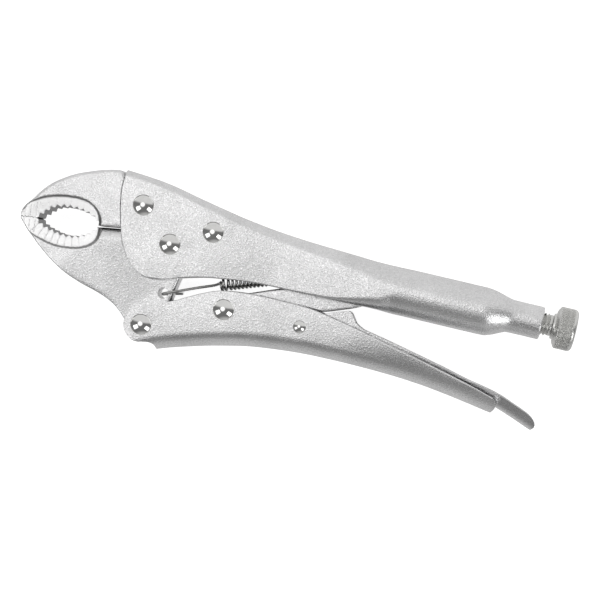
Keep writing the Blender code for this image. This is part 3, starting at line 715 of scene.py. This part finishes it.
LEVER_RIM = [(57.5, -8.0), (64.0, -8.0), (80.0, -9.0), (100.0, -15.0), (120.5, -21.0), (141.7, -26.0),
             (156.0, -30.0), (174.0, -36.0)]

# x, bottom of the floor, half width, lean, floor corner, rim corner, half slot, wall
LEVER_STATIONS = (
    (57.5, -27.6, LEVER_HALF, 0.0, 2.4, 0.3, 3.35, 1.2),
    (64.0, -28.6, LEVER_HALF, 0.0, 2.4, 0.3, 3.35, 1.2),
    (80.0, -29.0, LEVER_HALF, 0.0, 2.6, 0.3, 3.35, 1.2),
    (100.0, -29.4, LEVER_HALF, 0.0, 3.0, 0.3, 3.35, 1.2),
    (120.5, -30.9, 5.55, 8.0, 3.6, 0.3, 3.9, 1.2),
    (141.7, -34.0, 6.15, 16.0, 4.2, 0.3, 4.3, 1.2),
    (150.0, -35.4, 6.4, 20.0, 4.5, 0.3, 4.5, 1.2),
    (156.0, -37.2, 6.4, 22.0, 4.6, 0.3, 4.5, 1.2),
    (174.0, -43.9, 6.3, 22.0, 4.7, 0.3, 4.4, 1.2),
)


def make_release_lever():
    xs = np.arange(57.5, 174.1, 1.25)
    verts, faces = loft(sheet_loft(LEVER_STATIONS, LEVER_RIM, xs))
    lever = place("release_lever_sheet", verts, faces, "release", "release_lever")
    ear = arc(LEVER_PIVOT, 6.2, 190, 90, 12)
    top = smooth([(70.0, -14.9), (72.6, -14.2), (77.5, -12.3), (82.0, -10.75), (83.6, -10.6),
                  (84.8, -11.4), (86.0, -13.0), (87.8, -15.2), (91.0, -16.9)], 8)
    strip = smooth([(103.8, -19.4), (126.8, -24.4), (139.3, -27.4), (153.6, -30.4), (163.7, -34.0),
                    (168.4, -35.9), (171.2, -37.7), (172.5, -39.6), (172.2, -41.6), (170.6, -43.2)], 8)
    trim(lever, np.vstack((ear, top, strip, [(169.0, -50.0), (60.0, -50.0), (57.7, -25.0)])))
    return lever


def make_rivet(node, body):
    """A polished low dome on each flank."""
    low, high = node_reach(node)
    centre = (low + high) / 2
    head = (high.x - low.x) / 2
    top = high.z
    under = FLANK + 0.12
    dome = top - under
    ball = (head ** 2 + dome ** 2) / (2 * dome)
    profile = [(0.0, top)]
    for radius in np.linspace(0.03, 0.985, 32) * head:
        profile.append((radius, top - ball + math.sqrt(ball ** 2 - radius ** 2)))
    profile += [(head, under + 0.16 * dome), (head, under + 0.08 * dome), (head * 0.985, under)]
    profile += [(head * 0.6, under), (head * 0.6, 0.0)]
    steps = 96
    angles = np.linspace(0, 2 * math.pi, steps, endpoint=False)
    verts, faces = [], []
    for sign in (1, -1):
        base = len(verts)
        verts.append((centre.x, centre.y, sign * profile[0][1]))
        for radius, z in profile[1:]:
            verts += [(centre.x + radius * math.cos(a), centre.y + radius * math.sin(a), sign * z)
                      for a in angles]
        faces += [(base, base + 1 + i, base + 1 + (i + 1) % steps) for i in range(steps)]
        faces += [tuple(base + 1 + v for v in face) for face in band_faces(len(profile) - 1, steps)]
    rivet = place(node + "_head", verts, faces, body, node, 40)
    bm = bmesh.new()
    bm.from_mesh(rivet.data)
    bmesh.ops.remove_doubles(bm, verts=bm.verts, dist=1e-7)
    bm.to_mesh(rivet.data)
    bm.free()
    return rivet


# ---- spring, screw and knob ----------------------------------------------------------------------
def wire_tube(path, radius, sides=12):
    """Sweeps a round wire along a 3-D path."""
    path = np.asarray(path, float)
    tangent = np.gradient(path, axis=0)
    tangent /= np.linalg.norm(tangent, axis=1)[:, None]
    normal = np.cross(tangent[0], (0, 0, 1.0))
    if np.linalg.norm(normal) < 1e-3:
        normal = np.cross(tangent[0], (0, 1.0, 0))
    rows = []
    for point, t in zip(path, tangent):
        normal = normal - t * (normal @ t)
        normal /= np.linalg.norm(normal)
        other = np.cross(t, normal)
        rows.append([point + radius * (normal * math.cos(a) + other * math.sin(a))
                     for a in np.linspace(0, 2 * math.pi, sides, endpoint=False)])
    return loft(rows)


def make_spring():
    start = np.array((25.0, -12.0))
    anchor = np.array(SPRING_ANCHOR)
    along = (anchor - start) / np.linalg.norm(anchor - start)
    across = left_of(along)
    over = TANG + WIRE + 0.15
    hook = [(8.6, -20.2, -over), (5.5, -21.0, -over), (2.6, -21.9, -over + 0.2), (1.35, -22.2, -over + 1.6),
            (1.2, -22.3, -1.5), (1.2, -22.3, 1.5), (1.35, -22.0, over - 1.6), (2.6, -21.4, over - 0.2),
            (5.5, -20.2, over), (9.0, -18.8, over - 0.6), (15.0, -16.2, over - 2.2),
            (21.5, -13.6, over - 4.2), (23.0, -12.9, 0.9), (23.9, -12.3, 0.4)]
    lead_in = smooth(hook, 8)
    t = np.linspace(0, 1, COIL_TURNS * 22 + 1)
    grow = step_up(t, 0, 0.02) * step_up(1 - t, 0, 0.02)
    radius = 0.5 + (COIL - 0.5) * grow
    u = COIL_LENGTH * (t - 0.018 * np.sin(np.clip(t * 9, 0, 1) * math.pi))
    angle = 2 * math.pi * COIL_TURNS * t
    coil = np.column_stack((
        start[0] + along[0] * u + across[0] * radius * np.cos(angle),
        start[1] + along[1] * u + across[1] * radius * np.cos(angle),
        radius * np.sin(angle)))
    tail_from = np.array((*(start + along * (COIL_LENGTH + 1.6)), 0.0))
    tail_to = np.array((*(anchor - along * 0.8), 0.0))
    tail = smooth([coil[-1], tail_from, (tail_from + tail_to) / 2, tail_to], 6)[1:]
    path = np.vstack((lead_in, coil[2:], tail))
    verts, faces = wire_tube(path, WIRE)
    spring = place("tension_spring_wire", verts, faces, "spring", "tension_spring", 60)
    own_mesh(spring)
    return spring


def turned_x(rows, steps, centre_y):
    """A turned solid about the screw's axis: rows of (x, radius per angle)."""
    verts = []
    angles = np.linspace(0, 2 * math.pi, steps, endpoint=False)
    for x, radius in rows:
        radius = np.broadcast_to(radius, steps)
        shift = np.broadcast_to(x, steps)
        verts.append(np.column_stack((shift, centre_y + radius * np.cos(angles), radius * np.sin(angles))))
    return np.vstack(verts), capped_faces(len(rows), steps)


def make_screw():
    steps = 48
    angles = np.linspace(0, 1, steps, endpoint=False)
    first, last = SCREW_TIP + 1.6, KNOB_FRONT - 0.25
    rows = [(SCREW_TIP, 0.01), (SCREW_TIP, 3.4), (SCREW_TIP + 0.8, 4.1)]
    for x in np.arange(first, last - 1.3, PITCH / 10):
        phase = (x / PITCH - angles) % 1.0
        ridge = np.clip(np.abs(phase - 0.5) * 2.4 - 0.12, 0, 1)
        rows.append((x, SCREW_RADIUS - 0.05 - 0.85 * (1 - ridge)))
    rows += [(last - 1.25, 4.3), (last - 1.1, 4.6), (last - 0.2, 4.6), (last, 4.5), (last, 0.01)]
    verts, faces = turned_x(rows, steps, SCREW_Y)
    return place("adjusting_screw_thread", verts, faces, "screw", "adjusting_screw", 50)


def make_knob():
    steps = 288
    starts = 32
    angles = np.linspace(0, 1, steps, endpoint=False)
    rows = [(KNOB_FRONT, 0.01), (KNOB_FRONT, 5.3), (KNOB_FRONT + 0.12, 5.6), (KNOB_FRONT + 0.95, 5.75),
            (KNOB_FRONT + 1.05, 6.0), (KNOB_FRONT + 1.15, KNOB_RADIUS - 2.3),
            (KNOB_FRONT + 1.3, KNOB_RADIUS - 1.9), (KNOB_FRONT + 1.9, KNOB_RADIUS - 0.95)]
    begin, end = KNOB_FRONT + 2.3, KNOB_END - 1.6
    for x in np.linspace(begin, end, 46):
        lead = (x - begin) / 17.0
        one = np.abs(((angles + lead * 0.6) * starts) % 1.0 - 0.5) * 2
        two = np.abs(((angles - lead * 0.6) * starts) % 1.0 - 0.5) * 2
        groove = np.maximum(step_up(one, 0.25, 1.0), step_up(two, 0.25, 1.0)) * 0.5
        fade = step_up(x, begin - 0.1, begin + 0.5) * step_up(end - x, -0.1, 0.4)
        body = KNOB_RADIUS - 0.02 - 0.35 * (1 - step_up(x, begin - 0.3, begin + 0.5))
        body -= 0.12 * (1 - step_up(end - x, -0.2, 0.6))
        rows.append((x, body - groove * fade))
    for share in np.linspace(0.1, 1, 8):
        turn = math.radians(90 * share)
        rows.append((end + 1.5 * math.sin(turn), KNOB_RADIUS - 0.16 - 1.9 * (1 - math.cos(turn))))
    rows += [(KNOB_END - 0.03, KNOB_RADIUS - 2.4), (KNOB_END - 0.03, 2.4), (KNOB_END - 0.35, 1.9),
             (KNOB_END - 0.5, 0.01)]
    verts, faces = turned_x(rows, steps, SCREW_Y)
    return place("screw_knob_knurled", verts, faces, "knob", "screw_knob", 30)


# ---- materials --------------------------------------------------------------------------------------
def nodes_of(material):
    """A material's node tree and its shader."""
    material.use_nodes = True
    tree = material.node_tree
    return tree, tree.nodes["Principled BSDF"]


def add(tree, kind, **settings):
    """A node; settings that start with in_ go to its sockets."""
    node = tree.nodes.new(kind)
    for key, value in settings.items():
        if key.startswith("in_"):
            name = key[3:].replace("_", " ")
            node.inputs[name].default_value = value
        else:
            setattr(node, key, value)
    return node


def noise(tree, where, scale, detail=3.0, roughness=0.55):
    node = add(tree, "ShaderNodeTexNoise", in_Scale=scale, in_Detail=detail, in_Roughness=roughness)
    tree.links.new(where, node.inputs["Vector"])
    return node.outputs["Fac"]


def ramp(tree, value, low, high, to_low, to_high):
    node = add(tree, "ShaderNodeMapRange", in_From_Min=low, in_From_Max=high, in_To_Min=to_low,
               in_To_Max=to_high)
    tree.links.new(value, node.inputs["Value"])
    return node.outputs["Result"]


def blend_colour(tree, factor, first, second):
    node = add(tree, "ShaderNodeMix", data_type='RGBA')
    node.inputs["A"].default_value = (*first, 1)
    node.inputs["B"].default_value = (*second, 1)
    tree.links.new(factor, node.inputs["Factor"])
    return node.outputs["Result"]


def plated(name, dark, light, rough, grain, bump, edge=0.00035, cloud=60.0):
    """Blasted and plated metal: clouded tone, speckled gloss, fine grain and softened edges."""
    material = bpy.data.materials.new(name)
    tree, shader = nodes_of(material)
    where = add(tree, "ShaderNodeTexCoord").outputs["Object"]
    clouds = noise(tree, where, cloud, 4.0)
    speck = noise(tree, where, grain, 2.0, 0.6)
    mixed = add(tree, "ShaderNodeMath", operation='MULTIPLY_ADD')
    tree.links.new(ramp(tree, clouds, 0.35, 0.65, 0.0, 0.3), mixed.inputs[0])
    mixed.inputs[1].default_value = 1.0
    tree.links.new(ramp(tree, speck, 0.3, 0.7, 0.0, 0.7), mixed.inputs[2])
    tree.links.new(blend_colour(tree, mixed.outputs[0], dark, light), shader.inputs["Base Color"])
    tree.links.new(ramp(tree, speck, 0.3, 0.7, rough + 0.08, rough - 0.06), shader.inputs["Roughness"])
    shader.inputs["Metallic"].default_value = 1.0
    soft_edge = add(tree, "ShaderNodeBevel", samples=6, in_Radius=edge)
    pits = add(tree, "ShaderNodeBump", in_Strength=bump, in_Distance=0.00015)
    tree.links.new(speck, pits.inputs["Height"])
    tree.links.new(soft_edge.outputs["Normal"], pits.inputs["Normal"])
    waves = add(tree, "ShaderNodeBump", in_Strength=0.10, in_Distance=0.0004)
    tree.links.new(noise(tree, where, 160.0, 2.0), waves.inputs["Height"])
    tree.links.new(pits.outputs["Normal"], waves.inputs["Normal"])
    tree.links.new(waves.outputs["Normal"], shader.inputs["Normal"])
    return material


def polished(name):
    """Mirror-polished rivet head with a faint smear in tone and gloss, and fine handling marks."""
    material = bpy.data.materials.new(name)
    tree, shader = nodes_of(material)
    where = add(tree, "ShaderNodeTexCoord").outputs["Object"]
    smear = noise(tree, where, 500.0, 3.0)
    tree.links.new(blend_colour(tree, smear, (0.70, 0.70, 0.69), (0.82, 0.82, 0.81)),
                   shader.inputs["Base Color"])
    tree.links.new(ramp(tree, smear, 0.3, 0.7, 0.05, 0.13), shader.inputs["Roughness"])
    shader.inputs["Metallic"].default_value = 1.0
    marks = add(tree, "ShaderNodeBump", in_Strength=0.05, in_Distance=0.0001)
    tree.links.new(noise(tree, where, 1400.0, 2.0), marks.inputs["Height"])
    tree.links.new(marks.outputs["Normal"], shader.inputs["Normal"])
    return material


def set_material(obj, material):
    obj.data.materials.clear()
    obj.data.materials.append(material)


# ---- build the pieces ------------------------------------------------------------------------------
satin = plated("satin_nickel", (0.61, 0.61, 0.613), (0.88, 0.88, 0.885), 0.28, 1500.0, 1.0)
forged = plated("forged_nickel", (0.62, 0.62, 0.623), (0.90, 0.90, 0.905), 0.29, 1550.0, 0.95)
lever_metal = plated("lever_nickel", (0.56, 0.56, 0.563), (0.86, 0.86, 0.865), 0.25, 1500.0, 0.9)
ground = plated("ground_steel", (0.86, 0.86, 0.86), (0.98, 0.98, 0.98), 0.38, 2400.0, 0.12, 0.0001)
# painted shade: a dark steel for the hollows round the bevels, the tooth walls and the lip slot of the jaws
painted_shade_steel = plated("painted_shade_steel", (0.20, 0.20, 0.20), (0.44, 0.44, 0.44), 0.42, 1500.0, 0.3, 0.0001)
rivet_chrome = polished("rivet_chrome")
wire_steel = plated("spring_wire", (0.30, 0.30, 0.30), (0.58, 0.58, 0.57), 0.20, 1200.0, 0.1, 0.0001)
zinc = plated("bright_zinc", (0.58, 0.58, 0.57), (0.80, 0.80, 0.78), 0.26, 1500.0, 0.2, 0.00012)

set_material(make_upper_handle(), satin)
set_material(make_lower_handle(), satin)
set_material(make_toggle_link(), forged)
set_material(make_release_lever(), lever_metal)
set_material(make_spring(), wire_steel)
set_material(make_screw(), zinc)
set_material(make_knob(), zinc)

for jaw in (make_fixed_jaw(), make_lower_jaw()):
    set_material(jaw, forged)
    jaw.data.materials.append(ground)
    # material slot 2 of each jaw is the painted-shade steel
    jaw.data.materials.append(painted_shade_steel)
    paint_bevels_and_shade(jaw)

for rivet_node, rivet_body in (("fixed_jaw_rivet_front", "frame"), ("fixed_jaw_rivet_rear", "frame"),
                               ("jaw_pivot_rivet", "frame"), ("handle_pivot_rivet", "hand_lever"),
                               ("link_pivot_rivet", "hand_lever"), ("lever_rivet", "hand_lever")):
    set_material(make_rivet(rivet_node, rivet_body), rivet_chrome)


# ---- studio ----------------------------------------------------------------------------------------
CAMERA_LENS = 100.23
CAMERA_DISTANCE = 0.735
CAMERA_YAW = math.radians(5.5)
CAMERA_ROLL = math.radians(13.26)
CAMERA_TARGET = Vector((60.73, -10.82, 0.0)) * MM + PIVOT
IMAGE_RIGHT = Vector((math.cos(CAMERA_ROLL), math.sin(CAMERA_ROLL), 0))
IMAGE_UP = Vector((-math.sin(CAMERA_ROLL), math.cos(CAMERA_ROLL), 0))
TOWARDS_VIEWER = Vector((0, 0, 1))
SOFTBOX_DISTANCE = 0.9
SOFTBOX_SIZE = (0.40, 0.60)
FLOOR_HALF = 3.0
FLOOR_Z = -0.0002


def studio_direction(right, up, near):
    """A world direction from the view's right, up and towards-viewer parts."""
    return (IMAGE_RIGHT * right + IMAGE_UP * up + TOWARDS_VIEWER * near).normalized()


def add_camera():
    data = bpy.data.cameras.new("camera")
    data.lens = CAMERA_LENS
    data.sensor_width = 36.0
    data.clip_start = 0.01
    camera = bpy.data.objects.new("camera", data)
    bpy.context.scene.collection.objects.link(camera)
    away = IMAGE_RIGHT * math.sin(CAMERA_YAW) + TOWARDS_VIEWER * math.cos(CAMERA_YAW)
    right = IMAGE_RIGHT * math.cos(CAMERA_YAW) - TOWARDS_VIEWER * math.sin(CAMERA_YAW)
    matrix = camera.matrix_world.copy()
    for row in range(3):
        matrix[row][0] = right[row]
        matrix[row][1] = IMAGE_UP[row]
        matrix[row][2] = away[row]
        matrix[row][3] = (CAMERA_TARGET + away * CAMERA_DISTANCE)[row]
    camera.matrix_world = matrix
    bpy.context.scene.camera = camera


def add_light(name, direction, radiance):
    """A rectangular softbox facing the object."""
    across, along = SOFTBOX_SIZE
    data = bpy.data.lights.new(name, 'AREA')
    data.shape = 'RECTANGLE'
    data.size = across
    data.size_y = along
    data.energy = radiance * math.pi * across * along
    lamp = bpy.data.objects.new(name, data)
    bpy.context.scene.collection.objects.link(lamp)
    lamp.location = CAMERA_TARGET + direction * SOFTBOX_DISTANCE
    lamp.rotation_euler = (-direction).to_track_quat('-Z', 'Y').to_euler()
    return lamp


def add_floor():
    mesh = bpy.data.meshes.new("studio_floor")
    corners = [(-1, -1), (1, -1), (1, 1), (-1, 1)]
    mesh.from_pydata([(x * FLOOR_HALF, y * FLOOR_HALF, FLOOR_Z) for x, y in corners], [], [(0, 1, 2, 3)])
    floor = bpy.data.objects.new("studio_floor", mesh)
    bpy.context.scene.collection.objects.link(floor)
    material = bpy.data.materials.new("pale_floor")
    shader = nodes_of(material)[1]
    shader.inputs["Base Color"].default_value = (0.92, 0.92, 0.92, 1)
    shader.inputs["Roughness"].default_value = 0.9
    shader.inputs["Emission Color"].default_value = (1, 1, 1, 1)
    shader.inputs["Emission Strength"].default_value = 0.75
    mesh.materials.append(material)
    floor.visible_glossy = False


def add_world():
    """Soft studio surround: a bright patch overhead, a lit wall above, dark sides, grey below."""
    world = bpy.data.worlds.new("studio")
    bpy.context.scene.world = world
    world.use_nodes = True
    tree = world.node_tree
    background = tree.nodes["Background"]
    where = add(tree, "ShaderNodeTexCoord").outputs["Generated"]

    def along(direction):
        dot = add(tree, "ShaderNodeVectorMath", operation='DOT_PRODUCT')
        tree.links.new(where, dot.inputs[0])
        dot.inputs[1].default_value = tuple(direction)
        return dot.outputs["Value"]

    def combine(a, b, operation):
        node = add(tree, "ShaderNodeMath", operation=operation)
        tree.links.new(a, node.inputs[0])
        tree.links.new(b, node.inputs[1])
        return node.outputs[0]

    patch = ramp(tree, along(studio_direction(-0.17, 0.11, 0.97)), 0.930, 0.975, 0.0, 1.34)
    wall = ramp(tree, along(studio_direction(0.17, 0.98, 0.0)), 0.14, 0.36, 0.0, 0.60)
    low = ramp(tree, along(-IMAGE_UP), 0.76, 0.96, 0.0, 0.36)
    ground = ramp(tree, along(-TOWARDS_VIEWER), -0.02, 0.25, 0.0, 0.42)
    sides = combine(combine(wall, low, 'MAXIMUM'), ground, 'MAXIMUM')
    total = add(tree, "ShaderNodeMath", operation='ADD')
    tree.links.new(combine(patch, sides, 'MAXIMUM'), total.inputs[0])
    total.inputs[1].default_value = 0.19
    tree.links.new(total.outputs[0], background.inputs["Strength"])
    background.inputs["Color"].default_value = (1.0, 0.995, 0.993, 1)


add_camera()
add_floor()
add_world()
add_light("softbox_left", studio_direction(-0.75, -0.27, 0.60), 1.7)
add_light("softbox_right", studio_direction(0.59, -0.53, 0.60), 2.4)
bpy.context.scene.view_settings.view_transform = 'Standard'
